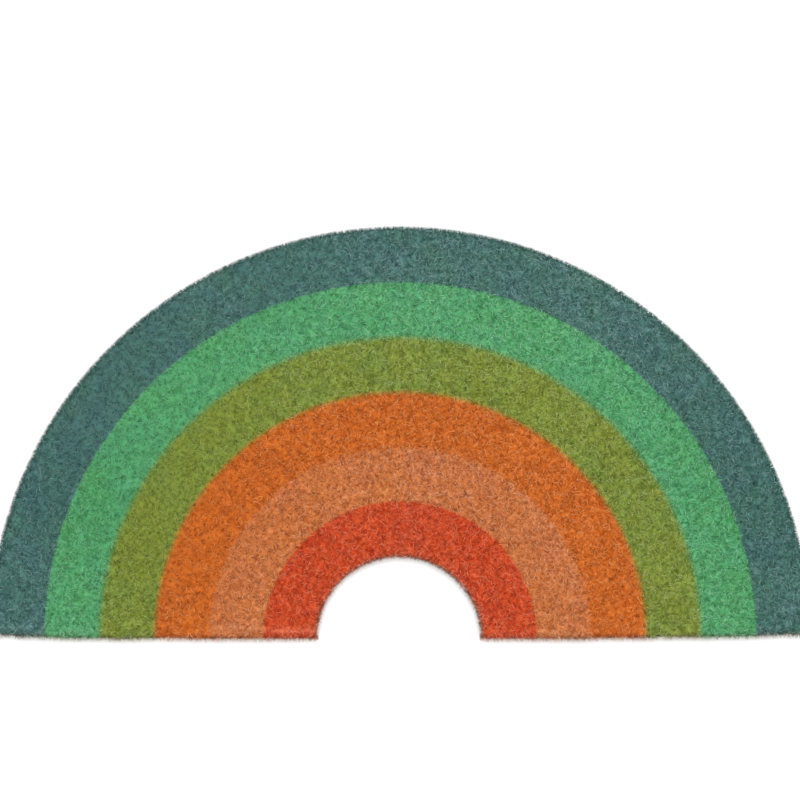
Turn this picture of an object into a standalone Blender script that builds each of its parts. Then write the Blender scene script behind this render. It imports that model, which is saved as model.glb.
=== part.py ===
"""Half-round coir doormat with a half-round cutout at its straight edge, as one solid.

The mat is cut from one sheet: stiff coir pile that stands in a thin vinyl base.
Units are metres and +Z is up. The origin is under the middle of the mat's own box,
the straight edge faces -Y and the round edge faces +Y.
"""

from math import asin, cos, pi, sin, sqrt

import bmesh
import bpy

# Plan sizes. The arcs are drawn round the arc centre, which lies near the straight edge.
OUTER_RADIUS = 0.380          # the round edge, so the mat is 760 mm wide
BAND_WIDTH = 0.0508           # each of the six printed bands
BAND_COUNT = 6
CUTOUT_RADIUS = OUTER_RADIUS - BAND_COUNT * BAND_WIDTH - 0.0007
CUTOUT_OFF_X = -0.0010        # the cutout's centre, measured from the arc centre
CUTOUT_OFF_Y = -0.0012
EDGE_DROP = 0.0022            # how far the straight edge runs below the arc centre
CORNER_RISE = 0.0037          # how far the straight edge climbs again at the outer corners
CORNER_RISE_LENGTH = 0.096    # over this length of it

# Section sizes, from the floor up.
BASE_THICKNESS = 0.0030       # vinyl base
LIP_WIDTH = 0.0010            # the base stands proud of the foot of the pile
LIP_SLOPE = 0.0002            # rise of the lip's top face
PILE_TOP = 0.0150             # tips of the pile, so the mat is 15 mm thick
PILE_SPLAY = 0.0007           # the cut edge of the pile spreads outwards by this much
SHOULDER_RADIUS = 0.0030      # the pile's top edge is softened

# Fineness of the round stretches.
OUTER_STEPS = 120
CUTOUT_STEPS = 48
CORNER_STEPS = 6
SHOULDER_STEPS = 4
SMOOTH_ANGLE = 0.6            # edges sharper than this many radians stay hard

COIR_COLOUR = (0.21, 0.19, 0.08, 1.0)   # all six printed bands, averaged
COIR_ROUGHNESS = 0.95


def clear_scene():
    """Remove whatever objects the file starts with."""
    for item in list(bpy.data.objects):
        bpy.data.objects.remove(item, do_unlink=True)


def straight_edge_y(x):
    """Height of the straight edge at x: level, then easing up towards the outer corners."""
    past = (abs(x) - (OUTER_RADIUS - CORNER_RISE_LENGTH)) / CORNER_RISE_LENGTH
    past = min(max(past, 0.0), 1.0)
    ease = past * past * (3.0 - 2.0 * past)
    return -EDGE_DROP + CORNER_RISE * ease


def outer_corner(inset):
    """Corner of the round edge and the straight edge, both moved in by the inset."""
    radius = OUTER_RADIUS - inset
    x = radius
    y = straight_edge_y(x) + inset
    for _ in range(4):
        x = sqrt(radius * radius - y * y)
        y = straight_edge_y(x) + inset
    return x, y


def arc(centre_x, centre_y, radius, start, end, steps):
    """Points on an arc, both of its ends included."""
    turn = (end - start) / steps
    angles = [start + turn * i for i in range(steps + 1)]
    return [(centre_x + radius * cos(a), centre_y + radius * sin(a)) for a in angles]


def round_edge(inset):
    """The outer arc, from the right corner over the top to the left corner."""
    _, corner_y = outer_corner(inset)
    radius = OUTER_RADIUS - inset
    start = asin(corner_y / radius)
    return arc(0.0, 0.0, radius, start, pi - start, OUTER_STEPS)


def cutout_edge(inset):
    """The cutout's arc, from its left foot over the top to its right foot."""
    radius = CUTOUT_RADIUS + inset
    foot_rise = -EDGE_DROP + inset - CUTOUT_OFF_Y
    foot = asin(foot_rise / radius)
    return arc(CUTOUT_OFF_X, CUTOUT_OFF_Y, radius, pi - foot, foot, CUTOUT_STEPS)


def leg_edge(inset, side):
    """Points of the straight edge between the level stretch and the outer corner."""
    corner_x, _ = outer_corner(inset)
    start_x = OUTER_RADIUS - CORNER_RISE_LENGTH
    step = (corner_x - start_x) / CORNER_STEPS
    reach = [start_x + step * i for i in range(CORNER_STEPS)]
    return [(side * x, straight_edge_y(x) + inset) for x in reach]


def outline(inset):
    """The whole outline moved in by the inset, anticlockwise from the right corner."""
    left_leg = list(reversed(leg_edge(inset, -1)))
    right_leg = leg_edge(inset, 1)
    return round_edge(inset) + left_leg + cutout_edge(inset) + right_leg


def section():
    """Rows of the mat's edge from the floor up, each a height and an inset.

    The base has a square edge. The pile starts behind the base's lip, leans outwards
    as it rises, and rounds over at the top.
    """
    foot_inset = LIP_WIDTH
    widest_inset = LIP_WIDTH - PILE_SPLAY
    shoulder_start = PILE_TOP - SHOULDER_RADIUS
    rows = [(0.0, 0.0), (BASE_THICKNESS, 0.0), (BASE_THICKNESS + LIP_SLOPE, foot_inset)]
    for i in range(SHOULDER_STEPS + 1):
        angle = 0.5 * pi * i / SHOULDER_STEPS
        height = shoulder_start + SHOULDER_RADIUS * sin(angle)
        inset = widest_inset + SHOULDER_RADIUS * (1.0 - cos(angle))
        rows.append((height, inset))
    return rows


def box_centre_y():
    """Middle of the mat's depth, measured from the arc centre."""
    return 0.5 * (OUTER_RADIUS - EDGE_DROP)


def add_row(mesh, height, inset):
    """Add one closed row of points and return it."""
    shift = box_centre_y()
    return [mesh.verts.new((x, y - shift, height)) for x, y in outline(inset)]


def bridge(mesh, lower, upper):
    """Join two rows with the same number of points by a strip of quads."""
    count = len(lower)
    for i in range(count):
        j = (i + 1) % count
        mesh.faces.new((lower[i], lower[j], upper[j], upper[i]))


def coir_material():
    """Matt printed coir in the average colour of the bands."""
    material = bpy.data.materials.new("printed_coir")
    material.use_nodes = True
    shader = material.node_tree.nodes["Principled BSDF"]
    shader.inputs["Base Color"].default_value = COIR_COLOUR
    shader.inputs["Roughness"].default_value = COIR_ROUGHNESS
    shader.inputs["Metallic"].default_value = 0.0
    return material


def build_mat():
    """Build the mat: a flat underside, the stepped and rounded edge, and a level top."""
    mesh = bmesh.new()
    rows = [add_row(mesh, height, inset) for height, inset in section()]
    for lower, upper in zip(rows[:-1], rows[1:]):
        bridge(mesh, lower, upper)
    mesh.faces.new(list(reversed(rows[0])))
    mesh.faces.new(rows[-1])
    bmesh.ops.recalc_face_normals(mesh, faces=mesh.faces[:])
    data = bpy.data.meshes.new("mat")
    mesh.to_mesh(data)
    mesh.free()
    data.shade_smooth()
    data.set_sharp_from_angle(angle=SMOOTH_ANGLE)
    mat = bpy.data.objects.new("mat", data)
    mat.data.materials.append(coir_material())
    bpy.context.scene.collection.objects.link(mat)
    return mat


clear_scene()
build_mat()
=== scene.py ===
"""Looks of the half-round coir doormat: printed coir bristles that stand in a vinyl base.

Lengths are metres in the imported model's own frame. The origin is under the middle of the
mat's box, the straight edge faces -Y, the round edge +Y, and +Z is up. Places on the plan
are x and y from the arc centre, in arrays of (..., 2).
"""

from __future__ import annotations

import logging
from collections.abc import Callable
from dataclasses import dataclass
from enum import Enum
from functools import cached_property
from math import pi, prod, radians

import bpy
import numpy as np
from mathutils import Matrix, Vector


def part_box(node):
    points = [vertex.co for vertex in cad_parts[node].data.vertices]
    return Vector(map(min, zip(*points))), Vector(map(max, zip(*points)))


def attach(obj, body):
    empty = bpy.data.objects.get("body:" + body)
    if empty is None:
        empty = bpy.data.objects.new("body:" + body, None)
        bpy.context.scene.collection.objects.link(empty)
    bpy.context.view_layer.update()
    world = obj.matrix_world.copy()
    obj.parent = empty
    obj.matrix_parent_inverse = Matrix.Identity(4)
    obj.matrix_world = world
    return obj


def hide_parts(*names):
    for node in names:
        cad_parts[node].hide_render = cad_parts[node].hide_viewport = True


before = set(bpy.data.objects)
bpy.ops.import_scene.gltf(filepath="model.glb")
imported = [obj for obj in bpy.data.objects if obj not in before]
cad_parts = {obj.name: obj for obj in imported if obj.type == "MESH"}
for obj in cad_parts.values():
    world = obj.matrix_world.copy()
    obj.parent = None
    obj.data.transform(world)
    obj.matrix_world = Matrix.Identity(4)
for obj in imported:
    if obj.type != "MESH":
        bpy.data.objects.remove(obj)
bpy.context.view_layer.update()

MM = 0.001
NODE = "mat"
BODY = "root"
COIR_SLOT = "printed_coir"
VINYL_SLOT = "vinyl_base"
BAKE_MAP = "OFBake"
WAVE_RADIANS = 20.0  # of a wave pattern, for each unit of its scale
LOG = logging.getLogger("doormat")

Colour = tuple[float, float, float]  # display levels, 0 to 255
Range = tuple[float, float]
Array = np.ndarray


def linear(colour: Colour, lift: float = 0.0) -> tuple[float, float, float, float]:
    """Turn display levels into the linear colour that a shader takes.

    A level's share of 255 is lifted by the lift times 1.2 less 0.8 of the share. Then the
    display curve is undone: a low share is divided by 12.92, and any other has 0.055 added,
    is divided by 1.055 and raised to the power 2.4.

    Args:
        colour: Red, green and blue.
        lift: How far the shares are lifted.

    Returns:
        The linear colour with an alpha of 1.
    """
    share = np.array(colour) / 255.0
    share = np.clip(share + lift * (1.2 - 0.8 * share), 0.004, 1.0)
    curve = np.where(share <= 0.04045, share / 12.92, ((share + 0.055) / 1.055) ** 2.4)
    return (*curve.tolist(), 1.0)


@dataclass(frozen=True)
class Print:
    """One band's print on the tips of the coir."""

    colour: Colour  # what the band shows on the whole
    cool: Colour  # a slightly cooler cast that some patches take
    blur: float  # share of the band's width that runs into the next one's inwards
    shift: float = 0.0  # how far that border lies outside an even sixth of the rings


class Band(Enum):
    """The six printed bands, from the round outer edge to the cutout."""

    TEAL = Print((66, 103, 92), (66, 100, 98), 0.016, -0.25 * MM)
    GREEN = Print((78, 143, 93), (76, 141, 98), 0.085, -0.15 * MM)
    OLIVE = Print((114, 125, 49), (107, 125, 54), 0.075, -0.25 * MM)
    ORANGE = Print((177, 93, 31), (173, 91, 33), 0.058, -0.4 * MM)
    TAN = Print((177, 105, 56), (173, 103, 62), 0.014, 0.35 * MM)
    RED = Print((178, 69, 32), (173, 66, 35), 0.014)


NATURAL_COIR = (124, 109, 95)


@dataclass(frozen=True)
class PaintedStreak:
    """A faint line of painted light or shade along the pile rows, for tufts lying flatter or
    prouder.
    """

    height: float
    start: float
    end: float
    width: float
    lift: float  # painted light added to the display shares, painted shade where negative

    def share(self, at: Array) -> Array:
        """Share of the lift at places: a bell across the line, fading off its ends."""
        ends = np.minimum(at[..., 0] - self.start, self.end - at[..., 0]) / PAINTED_STREAK_EASE
        return np.clip(ends, 0.0, 1.0) * bell(at[..., 1] - self.height, self.width)


@dataclass(frozen=True)
class BrushingWithPaintedLight:
    """A broad area where the pile is brushed flat or up, calmer or livelier, with painted light or
    shade.
    """

    x: float
    y: float
    reach: float
    change: float  # of the fibres' contrast in the area's middle
    lift: float = 0.0  # painted light added to the display shares there, painted shade where negative

    def share(self, at: Array) -> Array:
        """Share of the change at places: e to minus the square of the way over the reach."""
        x, y = at[..., 0], at[..., 1]
        return np.exp(-((x - self.x) ** 2 + (y - self.y) ** 2) / self.reach**2)


@dataclass(frozen=True)
class Waver:
    """A stretch of the straight edge that was cut a little high, or low by a negative rise."""

    start: float
    end: float
    rise: float
    ease: float


def in_metres(kind: type, measures: int, rows: tuple) -> tuple:
    """Make a thing of each row, whose first few numbers are lengths in millimetres."""
    return tuple(kind(*(MM * size for size in row[:measures]), *row[measures:]) for row in rows)


PAINTED_STREAK_EASE = 12.0 * MM
# painted light and shade: paler and deeper lines along the pile rows
PAINTED_STREAKS = in_metres(PaintedStreak, 4, (
    (134.6, -90, 268, 1.4, 0.036), (134.6, 175, 262, 1.4, 0.030),
    (139.3, 108, 262, 1.4, -0.050), (73.6, -5, 143, 1.4, -0.030),
    (218.8, -82, 72, 1.4, 0.040), (225.0, 5, 130, 1.4, -0.024),
    (74.5, 325, 380, 1.4, -0.045), (51.4, 150, 250, 1.4, 0.060),
    (63.4, -345, -250, 1.4, 0.026), (86.0, 175, 300, 1.4, 0.040),
    (69.9, 86, 141, 1.4, 0.040), (199.4, 205, 345, 1.4, 0.034),
    (297.4, -170, -114, 1.4, -0.042), (10.3, -372, -325, 2.0, 0.050),
    (5.2, -336, -275, 2.4, 0.075), (5.5, -240, -172, 2.0, 0.020),
    (9.0, -180, -122, 2.2, 0.070), (6.8, -130, -68, 2.9, 0.115),
    (5.0, 70, 180, 2.8, 0.035),
))
# broad areas of brushed pile, most of them with painted light or painted shade
BRUSHINGS_WITH_PAINTED_LIGHT = in_metres(BrushingWithPaintedLight, 3, (
    (-240, 205, 120, -0.72), (-110, 330, 45, -0.40), (-190, 75, 60, -0.30),
    (15, 70, 130, 0.20), (-310, 118, 75, 0.0, -0.024), (320, 136, 70, 0.0, -0.020),
    (165, 320, 95, 0.0, 0.016), (-10, 350, 90, 0.0, 0.010), (-90, 100, 28, 0.0, -0.018),
    (75, 100, 30, 0.0, -0.016),
))
WAVERS = in_metres(Waver, 4, (
    (172, 370, 0.80, 12), (228, 319, 0.85, 14), (-362, -340, -0.70, 8),
    (-305, -262, 0.60, 12), (-250, -188, 0.50, 12),
))


def operator(operation: str, turned: bool = False) -> Callable:
    """Make a wire's method for one operation.

    Args:
        operation: The operation's name.
        turned: Whether the wire comes second.

    Returns:
        The method.
    """

    def method(wire: Wire, other: Wire | float) -> Wire:
        """Work out the operation on the wire and another wire or a number."""
        values = dict(enumerate((other, wire) if turned else (wire, other)))
        return wire.graph.node("ShaderNodeMath", {"operation": operation}, values)["Value"]

    return method


@dataclass(frozen=True)
class Wire:
    """A node's output that can be reckoned with like a number."""

    graph: Graph
    socket: bpy.types.NodeSocket
    __add__, __radd__ = operator("ADD"), operator("ADD", True)
    __sub__, __rsub__ = operator("SUBTRACT"), operator("SUBTRACT", True)
    __mul__, __rmul__ = operator("MULTIPLY"), operator("MULTIPLY", True)
    __truediv__ = operator("DIVIDE")
    at_least, at_most = operator("MAXIMUM"), operator("MINIMUM")

    def clamped(self) -> Wire:
        """Keep the value between 0 and 1."""
        return self.at_least(0.0).at_most(1.0)

    def eased(self, low: float, high: float) -> Wire:
        """Ease from 0 at low to 1 at high: with t the clamped share, t * t * (3 - 2 * t)."""
        share = ((self - low) / (high - low)).clamped()
        return share * share * (3.0 - 2.0 * share)


@dataclass(frozen=True)
class Node:
    """A placed node whose outputs are read by name."""

    graph: Graph
    placed: bpy.types.Node

    def __getitem__(self, output: str | int) -> Wire:
        """Return one output as a wire."""
        return Wire(self.graph, self.placed.outputs[output])


class Graph:
    """A material's node tree, built one call at a time."""

    def __init__(self, name: str) -> None:
        """Start a material with an empty tree.

        Args:
            name: The material's name.
        """
        self.material = bpy.data.materials.new(name)
        self.material.use_nodes = True
        self.tree = self.material.node_tree
        self.tree.nodes.clear()

    def node(self, kind: str, settings: dict, sockets: dict) -> Node:
        """Place one node.

        Args:
            kind: The node's type.
            settings: Its properties, set first. "stops" are an easing colour ramp's pairs of a
                place from 0 to 1 and a linear colour.
            sockets: Its inputs, each with a value or a wire.

        Returns:
            The node.
        """
        placed = self.tree.nodes.new(kind)
        for key, value in settings.items():
            if key != "stops":
                setattr(placed, key, value)
                continue
            ramp = placed.color_ramp
            ramp.interpolation = "EASE"
            while len(ramp.elements) < len(value):
                ramp.elements.new(1.0)
            for element, (place, colour) in zip(ramp.elements, value):
                element.position = place
                element.color = colour
        for key, value in sockets.items():
            if isinstance(value, Wire):
                self.tree.links.new(value.socket, placed.inputs[key])
            else:
                placed.inputs[key].default_value = value
        return Node(self, placed)

    def attribute(self, name: str) -> Wire:
        """Read a number that the mesh carries."""
        return self.node("ShaderNodeAttribute", {"attribute_name": name}, {})["Fac"]

    @cached_property
    def place(self) -> Wire:
        """The point's place in the piece's own space."""
        return self.node("ShaderNodeTexCoord", {}, {})["Object"]

    def noise(self, size: float, detail: float = 2.0, curl: float = 0.0) -> Wire:
        """Noise from about -0.3 to 0.3, in blotches of a size in metres that may be curled."""
        look = {"Scale": 1.0 / size, "Detail": detail, "Distortion": curl}
        return self.node("ShaderNodeTexNoise", {}, {"Vector": self.place, **look})["Fac"] - 0.5

    def bump(self, height: Wire, depth: float, strength: float) -> Wire:
        """Turn a height, drawn to a depth in metres at a strength, into a bumped normal."""
        sockets = {"Height": height, "Distance": depth, "Strength": strength}
        return self.node("ShaderNodeBump", {}, sockets)["Normal"]

    def mix(self, first: Wire | tuple, second: Wire | tuple, share: Wire) -> Wire:
        """Mix two colours, sockets 6 and 7: all of the first at a share of 0, none at 1."""
        sockets = {0: share, 6: first, 7: second}
        return self.node("ShaderNodeMix", {"data_type": "RGBA"}, sockets)[2]

    def toned(self, tones: list, tone: Wire) -> Wire:
        """Run over a deep, a middle and a pale colour as the tone goes from 0 over 0.5 to 1."""
        lower = self.mix(tones[0], tones[1], (2.0 * tone).clamped())
        return self.mix(lower, tones[2], (2.0 * tone - 1.0).clamped())

    def finish(self, shader: dict) -> bpy.types.Material:
        """Close the tree with the surface's shader.

        Args:
            shader: The shader's inputs.

        Returns:
            The material.
        """
        surface = self.node("ShaderNodeBsdfPrincipled", {}, shader)
        self.node("ShaderNodeOutputMaterial", {}, {"Surface": surface["BSDF"]})
        return self.material


def ease_up(share: Array, rise: float) -> Array:
    """Ease from 0 up to a rise: with t the share kept from 0 to 1, rise * t * t * (3 - 2 * t)."""
    share = np.clip(share, 0.0, 1.0)
    return rise * share * share * (3.0 - 2.0 * share)


def bell(way: Array, width: float) -> Array:
    """Fade from 1: e to the power of minus the square of the way over the width."""
    return np.exp(-((way / width) ** 2))


def lengths(ways: Array) -> Array:
    """Lengths of ways across and up, (..., 2)."""
    return np.hypot(ways[..., 0], ways[..., 1])


def unit(ways: Array) -> Array:
    """Ways in space, (..., 3), cut to a length of 1."""
    return ways / np.linalg.norm(ways, axis=-1, keepdims=True)


def headings(angle: Array) -> Array:
    """Ways of length 1 at angles anticlockwise from +X, (..., 2)."""
    return np.stack([np.cos(angle), np.sin(angle)], -1)


def turned_left(ways: Array) -> Array:
    """Ways turned a quarter anticlockwise."""
    return np.stack([-ways[..., 1], ways[..., 0]], -1)


def at_height(places: Array, height: Array | float) -> Array:
    """Points of (..., 3) from places of (..., 2) and their heights, or one height for all."""
    level = np.broadcast_to(height, places.shape[:-1])
    return np.concatenate([places, level[..., None]], -1)


@dataclass(frozen=True)
class Plan:
    """The mat seen from above. Lengths run from the arc centre, which is at (0, centre_y)."""

    outer_radius: float
    centre_y: float
    base_top: float = 3.0 * MM
    pile_top: float = 15.0 * MM
    band_width: float = 50.8 * MM
    cutout_radius: float = 74.5 * MM
    cutout_centre: tuple = (-1.0 * MM, -1.2 * MM)
    edge_drop: float = 2.2 * MM
    corner_rise: float = 3.7 * MM
    corner_length: float = 96.0 * MM
    bare_shares: tuple = (0.05, 0.78, 0.66)  # at the round, the cutout's and the straight edge
    bare_widths: tuple = (0.0, 1.4 * MM, 0.8 * MM)
    bare_fade: float = 1.6 * MM
    painted_turn_shade: float = 0.030  # of the painted shade where the pile turns down at the straight edge
    painted_turn_inside: float = 3.1 * MM
    painted_turn_width: float = 1.4 * MM
    crowding: float = 0.7
    bend_reach: float = 0.12  # share of a grid's length over which its bent ends fade
    print_stray: float = 0.8 * MM  # of the print on a fibre from its place, one deviation

    @classmethod
    def from_frame(cls, node: str) -> Plan:
        """Read the round edge's radius, the arc centre and the height from a node's box.

        Args:
            node: The node.

        Returns:
            The plan.
        """
        low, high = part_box(node)
        radius = 0.5 * (high.x - low.x)
        return cls(outer_radius=radius, centre_y=high.y - radius, pile_top=high.z)

    def edge_y(self, x: Array) -> Array:
        """Height of the straight edge.

        The corner rise is eased in over the corner length, and each waver's rise over its
        ease, from its nearer end.

        Args:
            x: Places along it.

        Returns:
            The edge's y.
        """
        past = np.abs(x) - (self.outer_radius - self.corner_length)
        height = ease_up(past / self.corner_length, self.corner_rise) - self.edge_drop
        for waver in WAVERS:
            inside = np.minimum(x - waver.start, waver.end - x) / waver.ease
            height = height + ease_up(inside, waver.rise)
        return height

    def edges(self, at: Array) -> tuple:
        """Distances inside the round, the cutout's and the straight edge, negative outside."""
        from_cutout = lengths(at - self.cutout_centre) - self.cutout_radius
        return self.outer_radius - lengths(at), from_cutout, at[..., 1] - self.edge_y(at[..., 0])

    def depth(self, at: Array) -> Array:
        """Distance inside the outline, negative outside it: the least of the three."""
        return np.minimum.reduce(self.edges(at))

    def drawn_in(self, at: Array, margin: Array | float) -> Array:
        """Draw places that lie past a margin inside the outline back to it.

        Those past the round edge go towards the arc centre, those in the cutout away from its
        centre, and those below the straight edge up.

        Args:
            at: Places.
            margin: The least distance inside, negative to allow places out.

        Returns:
            The new places.
        """
        scale = np.minimum(1.0, (self.outer_radius - margin) / np.maximum(lengths(at), MM))
        way = at * scale[..., None] - self.cutout_centre
        scale = np.maximum(1.0, (self.cutout_radius + margin) / np.maximum(lengths(way), MM))
        at = self.cutout_centre + way * scale[..., None]
        at[..., 1] = np.maximum(at[..., 1], self.edge_y(at[..., 0]) + margin)
        return at

    def printed(self, at: Array, rng: np.random.Generator | None = None) -> Array:
        """Place across the bands as the print took it.

        It is the distance inside the round edge, plus the shift of the nearest border, plus
        the print's stray times a normal draw, all over the band width.

        Args:
            at: Places.
            rng: The source of chance, or None for no stray.

        Returns:
            0 at the round edge, and 1 more for each band inwards.
        """
        across = (self.outer_radius - lengths(at)) / self.band_width
        border = np.clip(np.round(across).astype(int) - 1, 0, len(Band) - 2)
        stray = np.array([band.value.shift for band in Band])[border]
        if rng is not None:
            stray = stray + self.print_stray * rng.normal(0.0, 1.0, across.shape)
        return across + stray / self.band_width

    def bareness(self, at: Array) -> Array:
        """Share of the print that is missing near the cut edges.

        Each edge's share falls off past its bare width as e to minus the further distance over
        the fade. The greatest of the three counts.

        Args:
            at: Places.

        Returns:
            The missing share.
        """
        bare = 0.0
        for distance, share, width in zip(self.edges(at), self.bare_shares, self.bare_widths):
            past = np.maximum(distance - width, 0.0)
            bare = np.maximum(bare, share * np.exp(-past / self.bare_fade))
        return bare

    def lift(self, at: Array) -> Array:
        """Painted light and shade: the tones' lifts times their shares, less the turn's shade as a
        bell.
        """
        # painted shade: a deeper band a few millimetres inside the straight edge, where the pile
        # turns down
        turn = -self.painted_turn_shade * bell(self.edges(at)[2] - self.painted_turn_inside, self.painted_turn_width)
        return sum((tone.lift * tone.share(at) for tone in PAINTED_STREAKS + BRUSHINGS_WITH_PAINTED_LIGHT), turn)

    def liveliness(self, at: Array) -> Array:
        """How strongly the fibres stand out: the product of 1 plus each brushing's change."""
        return prod(1.0 + area.change * area.share(at) for area in BRUSHINGS_WITH_PAINTED_LIGHT)

    def carry(self, shape: Shape, shade: Array, bare: Array, ring: Array) -> None:
        """Give a shape what its finish reads, and shift it into the model's frame.

        Rise, lift and liveliness come from each point's own place. The rest is the same for
        all points of a fibre.

        Args:
            shape: The shape, from the arc centre, its points fibre by fibre.
            shade: Each fibre's shade.
            bare: Each fibre's missing print.
            ring: Each fibre's place across the bands.
        """
        at, each = shape.points[:, :2], len(shape.points) // len(shade)
        shape.carried = {
            "rise": shape.points[:, 2] / self.pile_top,
            # painted light and shade of the streaks, brushings and the turn, carried as lift
            "lift": self.lift(at),
            "lively": self.liveliness(at),
            "shade": np.repeat(shade, each),
            "bare": np.repeat(np.clip(bare, 0.0, 1.0), each),
            "ring": np.repeat(ring, each),
        }
        shape.points = shape.points + [0.0, self.centre_y, 0.0]

    def arcs(self, share: Array, inset: float) -> tuple:
        """Points along the cutout's arc and the round edge, both moved in by an inset.

        Each runs at equal angles over the top, from its right foot to its left foot, where it
        meets the straight edge raised by the inset.

        Args:
            share: Places along the arcs, from 0 to 1.
            inset: How far they are moved in.

        Returns:
            The inner and the outer points.
        """
        arcs = []
        for centre, radius, foot_y in (
            (self.cutout_centre, self.cutout_radius + inset,
             inset - self.edge_drop - self.cutout_centre[1]),
            ((0.0, 0.0), self.outer_radius - inset, self.corner_rise - self.edge_drop + inset),
        ):
            start = np.arcsin(foot_y / radius)
            arcs.append(centre + radius * headings(start + (pi - 2.0 * start) * share))
        return tuple(arcs)

    def patch(self, along: int, across: int, inset: float) -> Array:
        """A grid over the whole mat, ruled from the cutout's arc to the round edge.

        Its lines lie closer near the outline: at t less the crowding times the sine of two pi t
        over two pi, with t the even share. Each straight end is shifted in y to the curved
        edge, fading with the square of the way in.

        Args:
            along: Steps from the right end to the left.
            across: Steps from the cutout to the round edge.
            inset: How far the outline is moved in.

        Returns:
            Places, (along + 1, across + 1, 2).
        """
        share, out = (
            even - self.crowding * np.sin(2.0 * pi * even) / (2.0 * pi)
            for even in (np.linspace(0.0, 1.0, steps + 1) for steps in (along, across))
        )
        out = out[None, :, None]
        inner, outer = self.arcs(share, inset)
        grid = inner[:, None] * (1.0 - out) + outer[:, None] * out
        for end, way in ((0, share), (-1, 1.0 - share)):
            bend = self.edge_y(grid[end, :, 0]) + inset - grid[end, :, 1]
            fade = np.clip(1.0 - way / self.bend_reach, 0.0, 1.0) ** 2
            grid[:, :, 1] += fade[:, None] * bend[None, :]
        return grid

    def rim(self, steps: int) -> tuple:
        """The outline as a closed run, with outward ways: the run's own, turned clockwise.

        Args:
            steps: Steps on each of its four stretches.

        Returns:
            Places, outward ways, and lengths along the run.
        """
        share = np.linspace(0.0, 1.0, steps + 1)
        inner, outer = self.arcs(share, 0.0)
        left = outer[-1] + (inner[-1] - outer[-1]) * share[:, None]
        right = inner[0] + (outer[0] - inner[0]) * share[:, None]
        for side in (left, right):
            side[:, 1] = self.edge_y(side[:, 0])
        run = np.concatenate([outer[:-1], left[:-1], inner[::-1][:-1], right])
        length = np.concatenate([[0.0], np.cumsum(lengths(np.diff(run, axis=0)))])
        way = np.gradient(run, axis=0)
        return run, -turned_left(way / lengths(way)[:, None]), length


@dataclass
class Shape:
    """Faces ready to become a mesh, with what they carry."""

    points: Array  # (n, 3)
    faces: Array  # (m, 3) or (m, 4)
    corners: Array  # (m, 3 or 4, 2), the map's place for each corner
    carried: dict[str, Array]  # name of a number that each point carries
    crease: float = radians(50.0)  # edges sharper than this stay hard

    def piece(
        self, name: str, material: bpy.types.Material, slot: str, stands_in: bool = False
    ) -> bpy.types.Object:
        """Make the mesh and its object, riding on the mat's body.

        Args:
            name: The piece's name.
            material: Its finish.
            slot: Its material slot, not used.
            stands_in: Whether it takes the place of the mat's node.

        Returns:
            The object.
        """
        mesh = bpy.data.meshes.new(name)
        sides = self.faces.shape[1]
        mesh.vertices.add(len(self.points))
        mesh.vertices.foreach_set("co", self.points.astype(np.float32).ravel())
        mesh.loops.add(self.faces.size)
        mesh.loops.foreach_set("vertex_index", self.faces.astype(np.int32).ravel())
        mesh.polygons.add(len(self.faces))
        starts = np.arange(len(self.faces), dtype=np.int32) * sides
        mesh.polygons.foreach_set("loop_start", starts)
        mesh.update(calc_edges=True)
        layer = mesh.uv_layers.new(name=BAKE_MAP)
        layer.data.foreach_set("uv", self.corners.astype(np.float32).ravel())
        for key, values in self.carried.items():
            attribute = mesh.attributes.new(key, "FLOAT", "POINT")
            attribute.data.foreach_set("value", values.astype(np.float32).ravel())
        mesh.set_sharp_from_angle(angle=self.crease)
        mesh.materials.append(material)
        made = bpy.data.objects.new(name, mesh)
        bpy.context.scene.collection.objects.link(made)
        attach(made, BODY)
        if stands_in:
            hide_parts(NODE)
        LOG.info("%s: %d triangles", name, len(self.faces) * (sides - 2))
        return made


def joined(points: Array, own: list, marks: Array) -> Shape:
    """Join fibres that are built alike, each with its own square cell of the map.

    The cells form the smallest square grid, and each keeps a tenth clear on each side.

    Args:
        points: The fibres' points, (n, k, 3).
        own: One fibre's triangles, by the numbers of its own points.
        marks: Its points' places in the cell, from 0 to 1, (k, 2).

    Returns:
        The fibres, carrying nothing yet.
    """
    count, each = points.shape[:2]
    number = np.arange(count)
    side = int(np.ceil(np.sqrt(count)))
    clear = 0.1 / side
    low = np.stack([number % side, number // side], -1) / side + clear
    places = low[:, None] + np.array(marks) * (1.0 / side - 2.0 * clear)
    faces = (np.array(own) + each * number[:, None, None]).reshape(-1, 3)
    return Shape(points.reshape(-1, 3), faces, places.reshape(-1, 2)[faces], {})


def blades(roots: Array, tips: Array, width: Array) -> Shape:
    """Straight bristles: tetrahedra with an edge at the root and one at the tip.

    The root edge is the cross product of up, a thousandth aslant, and the bristle's way. The
    tip edge is the cross product of that way and the root edge.

    Args:
        roots: Root points, (n, 3).
        tips: Tip points, (n, 3), above the roots.
        width: Length of both edges, (n,).

    Returns:
        The bristles, carrying nothing yet.
    """
    half = 0.5 * width[:, None]
    way = unit(tips - roots)
    side = unit(np.cross([0.001, 0.0, 1.0], way))
    rise = np.cross(way, side) * half
    points = np.stack([roots - side * half, roots + side * half, tips - rise, tips + rise], 1)
    own = [[0, 3, 1], [0, 1, 2], [0, 2, 3], [1, 3, 2]]
    return joined(points, own, [[0.0, 0.0], [1.0, 0.0], [0.0, 1.0], [1.0, 1.0]])


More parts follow.
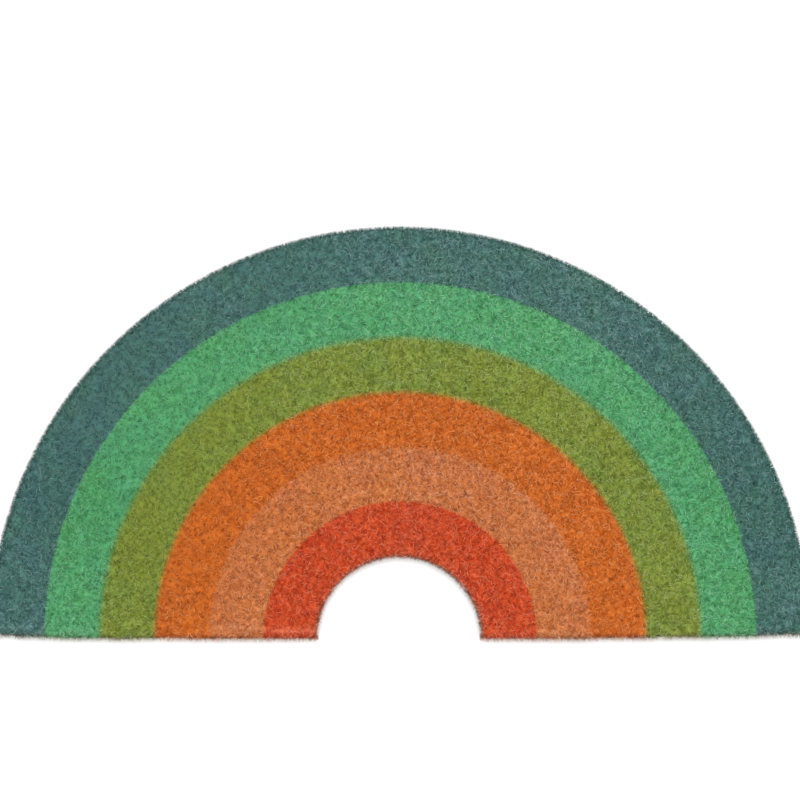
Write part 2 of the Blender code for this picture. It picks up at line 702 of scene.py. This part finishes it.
def strands(paths: Array, radius: Array) -> Shape:
    """Bent fibres with three sides that run to a point.

    A triangle stands across the path at each point but the tip. Its side direction is the
    cross product of the path's way and up, a little aslant.

    Args:
        paths: Points of the paths, (n, k, 3).
        radius: Radius at each point but the tip, (n, k - 1).

    Returns:
        The fibres, carrying nothing yet.
    """
    count, length = paths.shape[:2]
    way = unit(np.gradient(paths, axis=1))
    side = unit(np.cross(way, [0.02, 0.01, 1.0]))
    rise = np.cross(way, side)
    across, up = headings(2.0 * pi * np.arange(3) / 3.0).T[..., None]
    spoke = side[:, :-1, None] * across + rise[:, :-1, None] * up
    rings = paths[:, :-1, None] + spoke * radius[:, :, None, None]
    own = [[0, 2, 1]]
    for ring in range(length - 2):
        for k in range(3):
            near, far = 3 * ring + k, 3 * ring + (k + 1) % 3
            own += [[near, far, far + 3], [near, far + 3, near + 3]]
    last = 3 * (length - 2)
    own += [[last + k, last + (k + 1) % 3, last + 3] for k in range(3)]
    high = np.repeat(np.arange(length - 1) / (length - 1), 3)
    marks = np.stack([np.tile([0.0, 0.5, 1.0], length - 1), high], -1)
    points = np.concatenate([rings.reshape(count, -1, 3), paths[:, -1:]], 1)
    return joined(points, own, np.concatenate([marks, [[0.5, 1.0]]]))


def slab(top: Array, bottom: Array, walls: list) -> Shape:
    """A closed slab between two grids of the same size, with rows of wall between them.

    On the map the underside lies above the top, and the wall is a strip above both.

    Args:
        top: The upper side, (a, b, 3), anticlockwise from the right end, and outwards.
        bottom: The underside.
        walls: Grids whose borders are the wall's rows, from the floor up.

    Returns:
        The slab, carrying nothing yet.
    """
    along, across = top.shape[:2]
    count = along * across
    number = np.arange(count).reshape(along, across)
    quads = np.stack([number[:-1, :-1], number[:-1, 1:], number[1:, 1:], number[1:, :-1]], -1)
    quads = quads.reshape(-1, 4)
    border = np.concatenate([number[0, :-1], number[:-1, -1], number[-1, :0:-1], number[:0:-1, 0]])
    ring = len(border)
    between = 2 * count + np.arange(len(walls) * ring).reshape(len(walls), ring)
    rows = np.concatenate([[border + count], between, [border]])
    low, high = rows[:-1], rows[1:]
    wall = np.stack([low, np.roll(low, -1, 1), np.roll(high, -1, 1), high], -1)
    faces = np.concatenate([quads, quads[:, ::-1] + count, wall.reshape(-1, 4)])
    sheet, gap = 0.45, 0.015
    even = np.meshgrid(np.linspace(0, 1, along), np.linspace(0, 1, across), indexing="ij")
    flat = np.stack(even, -1).reshape(-1, 2) * [1.0, sheet]
    strip = 2.0 * (sheet + gap)
    level = np.arange(len(low))[:, None, None] + [0, 0, 1, 1]
    level = strip + (1.0 - strip) * level / len(low)
    ahead = (np.arange(ring)[:, None] + [0, 1, 1, 0]) / ring
    wall = np.stack(np.broadcast_arrays(ahead, level), -1).reshape(-1, 4, 2)
    corners = [flat[quads], (flat + [0.0, sheet + gap])[quads[:, ::-1]], wall]
    points = [top.reshape(-1, 3), bottom.reshape(-1, 3)]
    points += [side.reshape(-1, 3)[border] for side in walls]
    return Shape(np.concatenate(points), faces, np.concatenate(corners), {})


def ripples(x: Array, y: Array, size: float, seed: int) -> Array:
    """Smooth random relief, about 1 high: twelve waves over the square root of six.

    Each is the sine of two pi times the place along its own direction, over its own length of
    0.7 to 1.4 times the size, plus its own phase.

    Args:
        x: Places across.
        y: Places up.
        size: The waves' usual length.
        seed: Seed of the directions, lengths and phases.

    Returns:
        The relief.
    """
    rng = np.random.default_rng(seed)
    waves = 12
    direction = rng.uniform(0.0, 2.0 * pi, waves)
    length = size * rng.uniform(0.7, 1.4, waves)
    phase = rng.uniform(0.0, 2.0 * pi, waves)
    along = x[..., None] * np.cos(direction) + y[..., None] * np.sin(direction)
    return np.sin(2.0 * pi * along / length + phase).sum(-1) / np.sqrt(0.5 * waves)


@dataclass(frozen=True)
class CoirFinish:
    """Matt coir whose tips are printed and whose roots keep the husk's own brown."""

    name: str
    contrast: float = 0.205  # display share between the print's middle tone and palest
    husk_contrast: float = 0.42  # the same for unprinted husk
    fibre_share: float = 0.6  # how much of that range the fibres' own shades take
    patchiness: float = 0.08  # large soft tonal patches
    patch_size: float = 95.0 * MM
    mottle: float = 0.15  # small ones
    mottle_size: float = 12.0 * MM
    grain: float = 1.70  # curled specks as fine as the fibres
    grain_size: float = 3.8 * MM
    grain_curl: float = 1.5
    cast: float = 2.6  # how sharply the cooler patches are set off
    cast_size: float = 26.0 * MM
    relief: float = 0.0  # height of the fibres' own relief, where a piece needs it
    relief_size: float = 1.3 * MM
    relief_curl: float = 2.5
    relief_strength: float = 0.7
    dye_start: float = 0.45  # share of the mat's height where the print begins
    dye_full: float = 0.70  # and where it covers
    roughness: float = 0.85
    shine: float = 0.10

    def tone(self, graph: Graph) -> Wire:
        """The fibre's own shade, kept within its share of the range, and the broad tones with
        painted light.

        Args:
            graph: The material's graph.

        Returns:
            The tone, from 0, deep, to 1, pale.
        """
        patches = graph.noise(self.patch_size) * self.patchiness
        spots = graph.noise(self.mottle_size) * self.mottle
        specks = graph.noise(self.grain_size, curl=self.grain_curl) * self.grain
        specks = specks * graph.attribute("lively")
        fibres = (0.5 + 0.5 * graph.attribute("shade") + spots + specks).clamped() - 0.5
        # broad: the painted light and shade carried as lift, and soft random patches
        broad = graph.attribute("lift") / (2.0 * self.contrast) + patches
        return 0.5 + fibres * self.fibre_share + broad

    def stops(self, inks: list[Colour], lift: float) -> list:
        """Ramp stops that hold each band's colour but for the blurs at its borders.

        Args:
            inks: The bands' colours.
            lift: How far they are lifted.

        Returns:
            Pairs of a place from 0 to 1 and a linear colour.
        """
        blurs = [0.0] + [band.value.blur for band in Band]
        stops = []
        for number, ink in enumerate(inks):
            borders = number + blurs[number], number + 1 - blurs[number + 1]
            stops += [(place / len(Band), linear(ink, lift)) for place in borders]
        return stops

    def printed(self, graph: Graph, tone: Wire) -> Wire:
        """Pick the band's tones by the place across the bands, cooler in soft patches.

        Args:
            graph: The material's graph.
            tone: From 0, deep, to 1, pale.

        Returns:
            The colour.
        """
        across = graph.attribute("ring") / float(len(Band))
        casts = []
        for inks in zip(*((band.value.colour, band.value.cool) for band in Band)):
            tones = []
            for lift in (-self.contrast, 0.0, self.contrast):
                ramp = {"stops": self.stops(inks, lift)}
                ramp = graph.node("ShaderNodeValToRGB", ramp, {"Fac": across})
                tones.append(ramp["Color"])
            casts.append(graph.toned(tones, tone))
        cast = (graph.noise(self.cast_size) * self.cast + 0.5).clamped()
        return graph.mix(*casts, cast)

    def material(self) -> bpy.types.Material:
        """Build the material.

        Returns:
            The material.
        """
        graph = Graph(self.name)
        tone = self.tone(graph)
        lifts = (-self.husk_contrast, 0.0, self.husk_contrast)
        husk = graph.toned([linear(NATURAL_COIR, lift) for lift in lifts], tone)
        rise = graph.attribute("rise")
        dye = rise.eased(self.dye_start, self.dye_full) * (1.0 - graph.attribute("bare"))
        shader = {
            "Base Color": graph.mix(husk, self.printed(graph, tone), dye),
            "Roughness": self.roughness, "Specular IOR Level": self.shine,
        }
        if self.relief:
            height = graph.noise(self.relief_size, curl=self.relief_curl)
            shader["Normal"] = graph.bump(height, self.relief, self.relief_strength)
        return graph.finish(shader)


@dataclass(frozen=True)
class VinylFinish:
    """Dark matt vinyl with a fine woven imprint and a few coir stubs showing through."""

    name: str = "vinyl_base"
    deep: Colour = (38, 36, 34)
    pale: Colour = (66, 62, 56)
    cloud_size: float = 30.0 * MM
    cloud_detail: float = 4.0
    cloud_contrast: float = 1.6
    stub: Colour = (118, 92, 62)
    stub_size: float = 0.8 * MM
    stub_share: float = 0.4
    stub_noise: Range = (0.15, 0.25)  # where a stub starts to show, and where it is full
    imprint_pitch: float = 2.4 * MM
    imprint_depth: float = 0.12 * MM
    imprint_waver: float = 0.6
    imprint_strength: float = 0.8
    roughness: float = 0.62
    cloud_roughness: float = 0.2  # what the clouds add to it
    shine: float = 0.4

    def material(self) -> bpy.types.Material:
        """Build the material.

        Returns:
            The material.
        """
        graph = Graph(self.name)
        cloud = graph.noise(self.cloud_size, self.cloud_detail)
        cloud = (cloud * self.cloud_contrast + 0.5).clamped()
        vinyl = graph.mix(linear(self.deep), linear(self.pale), cloud)
        fleck = graph.noise(self.stub_size, 1.0).eased(*self.stub_noise)
        colour = graph.mix(vinyl, linear(self.stub), fleck * self.stub_share)
        waves = []
        for direction in ("X", "Y"):
            settings = {"wave_type": "BANDS", "bands_direction": direction}
            scale = 2.0 * pi / (WAVE_RADIANS * self.imprint_pitch)
            sockets = {"Vector": graph.place, "Scale": scale, "Distortion": self.imprint_waver}
            waves.append(graph.node("ShaderNodeTexWave", settings, sockets)["Fac"])
        relief = waves[0] * waves[1] + graph.noise(0.5 * self.imprint_pitch)
        return graph.finish({
            "Base Color": colour, "Roughness": self.roughness + self.cloud_roughness * cloud,
            "Specular IOR Level": self.shine,
            "Normal": graph.bump(relief, self.imprint_depth, self.imprint_strength),
        })


@dataclass
class VinylBase:
    """The thin vinyl sheet under the pile, its edge square and slightly eased."""

    plan: Plan
    inset: float = 2.0 * MM  # inside the tips of the rim's bristles, which overhang
    along: int = 180
    across: int = 8
    ease: float = 0.25 * MM

    def grid(self, inset: float, height: float) -> Array:
        """A level grid over the mat at one height, in the model's frame."""
        flat = at_height(self.plan.patch(self.along, self.across, inset), height)
        return flat + [0.0, self.plan.centre_y, 0.0]

    def build(self) -> bpy.types.Object:
        """Build and dress the base, which stands in for the mat's node.

        Returns:
            The base.
        """
        top = self.plan.base_top
        eased = self.inset + self.ease
        walls = [self.grid(self.inset, self.ease), self.grid(self.inset, top - self.ease)]
        shape = slab(self.grid(eased, top), self.grid(eased, 0.0), walls)
        return shape.piece("vinyl_base", VinylFinish().material(), VINYL_SLOT, True)


@dataclass
class PileBed:
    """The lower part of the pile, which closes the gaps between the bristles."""

    plan: Plan
    top: float = 13.6 * MM
    foot_sink: float = 0.3 * MM  # into the vinyl
    relief: float = 0.25 * MM
    relief_size: float = 14.0 * MM
    fine_relief: float = 0.5 * MM  # of the finish
    relief_seed: int = 11
    rim_drop: float = 1.5 * MM  # how much lower it lies at its border
    rim_fade: float = 3.0 * MM
    foot_inset: float = 2.5 * MM
    top_inset: float = 1.8 * MM
    along: int = 240
    across: int = 44
    # painted shade: the bed, seen in the gaps between the bristles, is made deeper
    shade: float = -0.2

    def build(self) -> bpy.types.Object:
        """Build and dress the bed, whose top drops at the border by the rim drop, as a bell.

        Returns:
            The bed.
        """
        plan = self.plan
        flat = plan.patch(self.along, self.across, self.top_inset)
        bumps = ripples(flat[..., 0], flat[..., 1], self.relief_size, self.relief_seed)
        drop = self.rim_drop * bell(plan.depth(flat) - self.top_inset, self.rim_fade)
        top = at_height(flat, self.top + self.relief * bumps - drop)
        foot = plan.patch(self.along, self.across, self.foot_inset)
        shape = slab(top, at_height(foot, plan.base_top - self.foot_sink), [])
        at = shape.points[:, :2]
        # the bed's shade is painted shade in the gaps between the bristles
        plan.carry(shape, np.full(len(at), self.shade), plan.bareness(at), plan.printed(at))
        finish = CoirFinish("printed_coir_bed", relief=self.fine_relief)
        return shape.piece("pile_bed", finish.material(), COIR_SLOT, True)


@dataclass
class Bristles:
    """The upright coir, cut level, in tufts that lean their own way."""

    plan: Plan
    pitch: float = 2.80 * MM  # between tufts
    straying: float = 0.4  # of a tuft from its row, in pitches at most
    clear: float = 1.6 * MM  # from the outline to the nearest tuft
    per_tuft: int = 4
    tuft_spread: float = 0.60 * MM  # of the roots in a tuft, one standard deviation
    root_height: float = 12.0 * MM
    tip_drop: float = 0.35 * MM  # below the pile's top, one standard deviation
    width: float = 0.70 * MM
    thickness: Range = (0.7, 1.3)  # from bristle to bristle, times the width
    lean: float = 1.35  # tangent of the usual lean from upright
    lean_range: Range = (0.35, 1.5)  # from tuft to tuft, times the usual
    lean_spread: float = 0.12  # in a tuft, one standard deviation
    lean_limits: Range = (0.05, 2.6)
    heading_spread: float = 0.35  # in a tuft, one standard deviation in radians
    margins: Range = (0.6, 2.4)  # of the tips from the outline, in millimetres
    root_margin: float = 1.2 * MM  # what the roots keep more
    tuft_contrast: float = 0.25  # shade from tuft to tuft
    fibre_contrast: float = 0.22  # shade from bristle to bristle
    row_contrast: float = 0.08  # shade in slow waves along a row
    row_length: float = 70.0 * MM  # of those waves
    row_step: Range = (0.37, 0.53)  # metres in their pattern from row to row
    row_seed: int = 13
    patch_size: float = 150.0 * MM  # of the areas with more and with less contrast
    patch_level: float = 0.9  # of the contrasts, times the above
    patch_swing: float = 0.25  # of that level, from area to area
    patch_seed: int = 14
    wear: Range = (0.5, 1.5)  # of the missing print, times the usual
    shown_at: float = 0.75  # share of a bristle's length that sets its band
    seed: int = 5

    def tufts(self, rng: np.random.Generator) -> tuple:
        """Tufts on loosely kept rows, every second row shifted by half a pitch.

        Args:
            rng: The source of chance.

        Returns:
            Places and row numbers.
        """
        radius = self.plan.outer_radius
        rows = int(radius / self.pitch) + 3
        columns = int(2.0 * radius / self.pitch) + 2
        row, column = np.meshgrid(np.arange(rows), np.arange(columns), indexing="ij")
        x = (column + 0.5 * (row % 2)) * self.pitch - radius
        y = (row - 1) * self.pitch
        stray = rng.uniform(-self.straying, self.straying, (2, rows, columns)) * self.pitch
        places = np.stack([x + stray[0], y + stray[1]], -1).reshape(-1, 2)
        inside = self.plan.depth(places) > self.clear
        return places[inside], row.reshape(-1)[inside]

    def build(self) -> list[bpy.types.Object]:
        """Build and dress the bristles, one piece for each band.

        A tip is its root plus the lean times the height, the tuft's way with its own deviation,
        drawn in where it would pass the outline.

        Returns:
            The pieces.
        """
        plan, rng = self.plan, np.random.default_rng(self.seed)
        places, row = self.tufts(rng)
        count, one_each = (len(places), self.per_tuft), (len(places), 1)
        root = places[:, None] + rng.normal(0.0, self.tuft_spread, (*count, 2))
        angle = rng.uniform(0.0, 2.0 * pi, one_each) + rng.normal(0.0, self.heading_spread, count)
        lean = rng.uniform(*self.lean_range, one_each) * self.lean
        lean = np.clip(lean + rng.normal(0.0, self.lean_spread, count), *self.lean_limits)
        tip_height = plan.pile_top - np.abs(rng.normal(0.0, self.tip_drop, count))
        reach = lean * (tip_height - self.root_height)
        margin = rng.uniform(*self.margins, count) * MM
        tip = plan.drawn_in(root + reach[..., None] * headings(angle), margin)
        root = plan.drawn_in(root, margin + self.root_margin)
        patches = ripples(places[:, 0], places[:, 1], self.patch_size, self.patch_seed)
        spread = (self.patch_level + self.patch_swing * patches) * plan.liveliness(places)
        tuft_shade = rng.normal(0.0, self.tuft_contrast, len(places))
        x, y = places[:, 0] + self.row_step[0] * row, self.row_step[1] * row
        row_shade = self.row_contrast * ripples(x, y, self.row_length, self.row_seed)
        shade = (tuft_shade * spread + row_shade)[:, None]
        shade = shade + rng.normal(0.0, self.fibre_contrast, count) * spread[:, None]
        bare = plan.bareness(tip) * rng.uniform(*self.wear, count)
        roots = at_height(root, self.root_height).reshape(-1, 3)
        tips = at_height(tip, tip_height).reshape(-1, 3)
        width = self.width * rng.uniform(*self.thickness, len(roots))
        across = plan.printed((roots + self.shown_at * (tips - roots))[:, :2], rng)
        band = np.clip(np.floor(across), 0, len(Band) - 1).astype(int)
        pieces = []
        for number, kind in enumerate(Band):
            name, own = kind.name.lower(), band == number
            shape = blades(roots[own], tips[own], width[own])
            plan.carry(shape, shade.ravel()[own], bare.ravel()[own], across[own])
            finish = CoirFinish(f"printed_coir_{name}")
            pieces.append(shape.piece(f"bristles_{name}", finish.material(), COIR_SLOT))
        return pieces


@dataclass
class RimBristles:
    """The bristles of the cut edge: upright from the base, their tips splayed over the cut."""

    plan: Plan
    per_metre: int = 9000
    steps: int = 600  # along each stretch of the outline
    near: float = 0.5 * MM  # how close to an edge a place counts as on it
    radius: float = 0.26 * MM
    thickness: Range = (0.7, 1.25)  # from bristle to bristle, times the radius
    taper: tuple = (1.0, 0.9)  # of the radius at the root and at the knee
    foot_sink: float = 0.3 * MM  # into the vinyl
    foot_depth: float = 2.1 * MM  # of the outermost roots inside the outline
    foot_spread: float = 1.9 * MM
    knee_height: float = 11.8 * MM  # where they start to splay
    knee_share: float = 0.30  # of the way out that they have gone by then
    knee_depth: float = 1.0 * MM  # of the outermost knees inside the outline
    height_spread: float = 0.6 * MM  # of knees and tips, one deviation
    tip_drop: float = 0.3 * MM
    tip_depths: tuple = (-1.08 * MM, 0.4 * MM, -0.7 * MM)  # at the round, cutout's, straight edge
    strays: tuple = (0.4 * MM, 1.2 * MM, 1.45 * MM)  # how far they depart, one deviation
    furthest: float = 2.9 * MM  # out
    wave: float = 0.2 * MM  # slow wander of the tips along the edge
    wave_length: float = 6.0 * MM
    wave_seed: int = 22
    aside: float = 1.1 * MM  # how far a tip is moved along the edge, one deviation
    inner_share: float = 0.22  # of the bristles, those that lean back over the pile
    inner_reach: Range = (0.8 * MM, 4.2 * MM)
    droop: float = 0.5  # how much lower a tip is for each length further out
    droop_depth: float = 1.0 * MM  # inside the outline, where tips start to droop
    painted_edge_light: float = 1.0  # painted light: the paler shade of the fibres whose tips end at the cut
    painted_edge_light_fall: float = 250.0  # and how much less it is per metre inside
    fibre_contrast: float = 0.3  # shade from bristle to bristle
    wear: Range = (0.6, 1.3)  # of the missing print, times the usual
    seed: int = 21

    def build(self) -> bpy.types.Object:
        """Build and dress the rim.

        Roots and tips lie along the outline at their own depths, with the knee between them.
        Neighbours stray alike, because the stray is partly a slow wave along the edge.

        Returns:
            The piece.
        """
        plan, rng = self.plan, np.random.default_rng(self.seed)
        run, outward, length = plan.rim(self.steps)
        count = int(length[-1] * self.per_metre)
        at = rng.uniform(0.0, length[-1], count)
        edge, out = (
            np.stack([np.interp(at, length, known[:, k]) for k in (0, 1)], -1)
            for known in (run, outward)
        )
        inside_round, from_cutout, _ = plan.edges(edge)
        kind = np.where(inside_round < self.near, 0, np.where(from_cutout < self.near, 1, 2))
        stray = rng.normal(0.0, 1.0, count) * np.array(self.strays)[kind]
        wave = self.wave * ripples(at, np.zeros(count), self.wave_length, self.wave_seed)
        tip_depth = np.array(self.tip_depths)[kind] + stray + wave
        tip_depth = np.maximum(tip_depth, -self.furthest)
        leans_back = rng.uniform(0.0, 1.0, count) < self.inner_share
        tip_depth = np.where(leans_back, rng.uniform(*self.inner_reach, count), tip_depth)
        foot_depth = self.foot_depth + self.foot_spread * rng.uniform(0.0, 1.0, count)
        aside = rng.normal(0.0, self.aside, count)
        fall = np.abs(rng.normal(0.0, self.height_spread, count))
        tip_height = plan.pile_top - self.tip_drop - fall
        tip_height -= self.droop * np.maximum(self.droop_depth - tip_depth, 0.0)
        knee_height = self.knee_height + rng.normal(0.0, self.height_spread, count)
        paths = []
        for share, height, least in (
            (0.0, plan.base_top - self.foot_sink, self.foot_depth),
            (self.knee_share, knee_height, self.knee_depth),
            (1.0, tip_height, np.minimum(tip_depth, 0.0)),
        ):
            depth = foot_depth + share * (tip_depth - foot_depth)
            place = edge - out * depth[:, None] + turned_left(out) * (share * aside)[:, None]
            paths.append(at_height(plan.drawn_in(place, least), height))
        thickness = rng.uniform(*self.thickness, (count, 1))
        radius = self.radius * np.array(self.taper) * thickness
        shape = strands(np.stack(paths, 1), radius)
        # painted light: fibres whose tips end near the cutout's and the straight edge are made
        # paler
        pale = np.clip(self.painted_edge_light - self.painted_edge_light_fall * tip_depth, 0.0, 1.0)
        shade = pale * (kind > 0) + rng.normal(0.0, self.fibre_contrast, count)
        tip = paths[-1][:, :2]
        bare = plan.bareness(tip) * rng.uniform(*self.wear, count)
        plan.carry(shape, shade, bare, plan.printed(tip, rng))
        return shape.piece("rim_bristles", CoirFinish("printed_coir_rim").material(), COIR_SLOT)


@dataclass
class LooseFibres:
    """Longer fibres that have worked loose and lie bent over the tips."""

    plan: Plan
    name: str
    count: int
    reach: Range
    radius: float
    bends: int
    sink: float  # of the start below the pile's top
    lift: float  # of the end above it, at most
    shade: float
    seed: int
    grain: float = 1.0
    shade_spread: float = 0.38
    thickness: Range = (0.7, 1.2)  # from fibre to fibre, times the radius
    thinning: float = 0.5  # share of the radius lost towards the tip
    curl: float = 0.28  # bend to the side for each length, one deviation
    clear: float = 2.0 * MM  # from the outline to the nearest start
    margin: float = 0.3 * MM  # least distance inside the outline
    tries: int = 3  # for each fibre, until its start lies on the mat
    past_ends: float = 0.02  # radians that the tries reach past a half turn

    def build(self) -> bpy.types.Object:
        """Build and dress the fibres.

        At the share s of its length, a fibre has gone the reach times s, turned aside by the
        bend times s squared, and climbed as 1 - (1 - s) cubed.

        Returns:
            The piece.
        """
        plan, rng = self.plan, np.random.default_rng(self.seed)
        tries = self.tries * self.count
        radius = np.sqrt(rng.uniform(0.0, 1.0, tries)) * plan.outer_radius
        angle = rng.uniform(-self.past_ends, pi + self.past_ends, tries)
        start = radius[:, None] * headings(angle)
        start = start[plan.depth(start) > self.clear][: self.count]
        one_each = (len(start), 1)
        share = np.linspace(0.0, 1.0, self.bends + 1)[None]
        way = headings(rng.uniform(0.0, 2.0 * pi, one_each))
        reach = rng.uniform(*self.reach, one_each)
        bend = reach * rng.normal(0.0, self.curl, one_each) * share**2
        path = start[:, None] + (reach * share)[..., None] * way
        path = plan.drawn_in(path + bend[..., None] * turned_left(way), self.margin)
        low = plan.pile_top - self.sink
        high = plan.pile_top + self.lift * rng.uniform(0.0, 1.0, one_each)
        height = low + (high - low) * (1.0 - (1.0 - share) ** 3)
        taper = self.radius * (1.0 - self.thinning * share[:, :-1])
        taper = taper * rng.uniform(*self.thickness, one_each)
        shape = strands(at_height(path, height), taper)
        middle = path[:, self.bends // 2]
        shade = rng.normal(self.shade, self.shade_spread, len(start)) * plan.liveliness(middle)
        plan.carry(shape, shade, plan.bareness(middle), plan.printed(middle, rng))
        finish = CoirFinish(f"printed_coir_{self.name}", grain=self.grain)
        return shape.piece(self.name, finish.material(), COIR_SLOT)


@dataclass
class Studio:
    """A pale floor, soft light from above, and the camera straight over the mat."""

    plan: Plan
    floor_radius: float = 9.0
    floor_sides: int = 96
    floor_tone: float = 0.76
    floor_roughness: float = 0.9
    distance: float = 3.0  # from the camera to the tips of the pile
    frame_height: float = 740.7 * MM  # what the picture's height takes in at the tips
    centre_above: float = 219.7 * MM  # the picture's middle, from the arc centre
    sensor: float = 36.0
    sight: float = 100.0  # how far the camera sees
    key_strength: float = 2.0
    key_spread: float = 35.0  # degrees
    key_tilt: float = 12.0  # degrees from upright, towards the round edge
    fill: float = 1.22

    def build(self) -> None:
        """Build the floor, the lights and the camera."""
        self.floor()
        self.lights()
        self.camera()

    def floor(self) -> None:
        """Lay a round pale floor under the mat."""
        bpy.ops.mesh.primitive_circle_add(
            vertices=self.floor_sides, radius=self.floor_radius, fill_type="NGON",
            location=(0.0, 0.0, 0.0),
        )
        floor = bpy.context.object
        floor.name = "floor"
        colour = (*[self.floor_tone] * 3, 1.0)
        shader = {"Base Color": colour, "Roughness": self.floor_roughness}
        floor.data.materials.append(Graph("pale_floor").finish(shader))

    def lights(self) -> None:
        """Hang one soft key light and fill the rest evenly."""
        key = bpy.data.lights.new("key", "SUN")
        key.energy = self.key_strength
        key.angle = radians(self.key_spread)
        lamp = bpy.data.objects.new("key", key)
        lamp.rotation_euler = (-radians(self.key_tilt), 0.0, 0.0)
        bpy.context.scene.collection.objects.link(lamp)
        world = bpy.data.worlds.new("studio")
        world.use_nodes = True
        background = world.node_tree.nodes["Background"]
        background.inputs["Color"].default_value = (1.0, 1.0, 1.0, 1.0)
        background.inputs["Strength"].default_value = self.fill
        bpy.context.scene.world = world
        bpy.context.scene.view_settings.view_transform = "Standard"

    def camera(self) -> None:
        """Hang the camera over the picture's middle, looking straight down."""
        lens = bpy.data.cameras.new("camera")
        lens.sensor_width = self.sensor
        lens.lens = self.sensor * self.distance / self.frame_height
        lens.clip_end = self.sight
        camera = bpy.data.objects.new("camera", lens)
        above = self.plan.centre_y + self.centre_above
        camera.location = (0.0, above, self.plan.pile_top + self.distance)
        bpy.context.scene.collection.objects.link(camera)
        bpy.context.scene.camera = camera


def loose_fibres(plan: Plan) -> list[LooseFibres]:
    """The kinds of loose fibre: short bent ones all over, and a few long pale ones."""
    short, long = (3.0 * MM, 6.5 * MM), (8.0 * MM, 17.0 * MM)
    return [LooseFibres(plan, *kind) for kind in (
        ("bent_fibres_pale", 14000, short, 0.45 * MM, 2, 1.6 * MM, 0.2 * MM, 0.70, 31),
        ("bent_fibres_deep", 14000, short, 0.45 * MM, 2, 1.6 * MM, 0.1 * MM, -0.30, 33),
        ("loose_fibres", 1200, long, 0.16 * MM, 5, 2.5 * MM, 1.2 * MM, 0.75, 32),
    )]


def main() -> None:
    logging.basicConfig(level=logging.INFO, format="%(message)s")
    plan = Plan.from_frame(NODE)
    base = VinylBase(plan).build()
    pile = [PileBed(plan).build(), *Bristles(plan).build(), RimBristles(plan).build()]
    pile += [fibres.build() for fibres in loose_fibres(plan)]
    Studio(plan).build()


if __name__ == "__main__":
    main()
